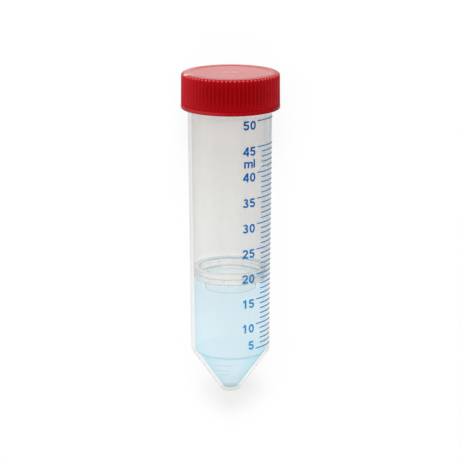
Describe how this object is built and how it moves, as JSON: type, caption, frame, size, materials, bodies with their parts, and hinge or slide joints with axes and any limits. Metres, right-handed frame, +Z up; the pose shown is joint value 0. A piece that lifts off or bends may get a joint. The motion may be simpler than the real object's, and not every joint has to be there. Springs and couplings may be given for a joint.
{
  "type": "conical centrifuge tube",
  "caption": "Clear 50 ml conical tube with a red ribbed screw cap, a ring-shaped separation insert, a pale blue fill and a blue printed scale, lying on its side.",
  "frame": {"origin": "bottom centre of the bounding box, on the floor under the lying tube", "axes": "+Y from the tip towards the cap, the length of the tube; +Z up, the side that carries the printed scale faces up and to +X; +X across"},
  "size_m": [0.0344, 0.1156, 0.0347],
  "materials": {
    "clear_pp": "clear polypropylene, glossy",
    "red_pe": "red polyethylene, satin",
    "clear_insert": "clear moulded plastic",
    "pale_fill": "pale blue fill"
  },
  "bodies": {
    "tube_body": {"tube": "clear_pp", "separation_insert": "clear_insert", "fill": "pale_fill"},
    "cap_body": {"screw_cap": "red_pe"}
  },
  "joints": [
    {"name": "cap_lift", "type": "slide", "parent": "tube_body", "child": "cap_body", "axis": [0, 0.9993, 0.037], "range_m": [0, 0.03]}
  ]
}
